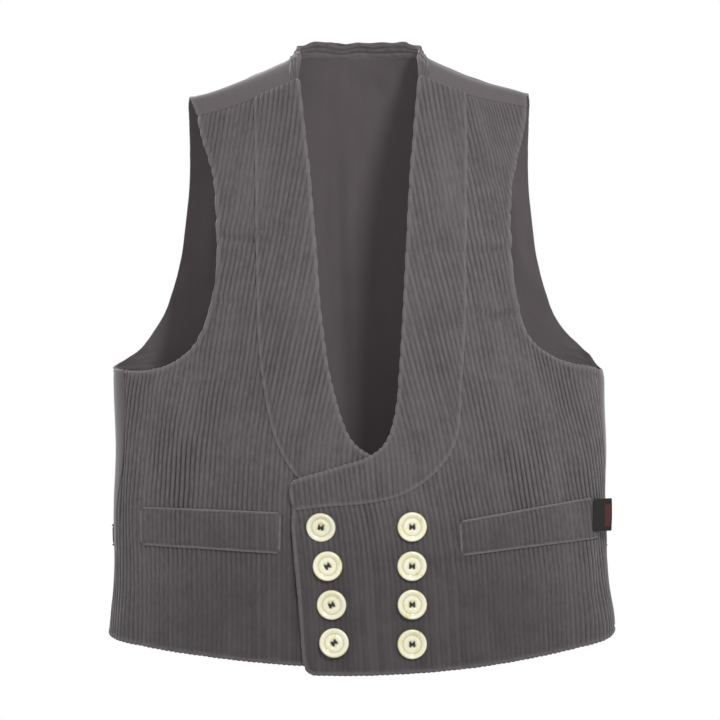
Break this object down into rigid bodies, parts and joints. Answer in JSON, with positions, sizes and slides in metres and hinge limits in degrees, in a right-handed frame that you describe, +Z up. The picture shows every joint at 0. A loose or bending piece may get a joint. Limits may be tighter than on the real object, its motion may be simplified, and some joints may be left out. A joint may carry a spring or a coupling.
{
  "type": "waistcoat",
  "caption": "Double-breasted corduroy waistcoat with a shawl collar, welt pockets and a plain back, filled out as worn but empty.",
  "frame": {"origin": "midway between the two shoulders at the height of the neck points, where the wearer's shoulders carry the garment", "axes": "+Z up, -Y the way the wearer faces (the buttoned front), +X towards the wearer's left"},
  "size_m": [0.4862, 0.1996, 0.6073],
  "materials": {
    "corduroy": "matte, wide ribs",
    "plain_cloth": "matte, smooth",
    "woven_tab": "satin weave",
    "buckle_steel": "satin",
    "pearl": "pearly gloss"
  },
  "bodies": {
    "root": {"front_right": "corduroy", "front_left": "corduroy", "collar_right": "corduroy", "collar_left": "corduroy", "collar_neck": "corduroy", "welt_right": "corduroy", "welt_left": "corduroy", "back_right": "plain_cloth", "back_left": "plain_cloth", "strap_right": "plain_cloth", "strap_left": "plain_cloth", "side_tab": "woven_tab", "strap_buckle": "buckle_steel", "button_1": "pearl", "button_2": "pearl", "button_3": "pearl", "button_4": "pearl", "button_5": "pearl", "button_6": "pearl", "button_7": "pearl", "button_8": "pearl"}
  },
  "joints": []
}
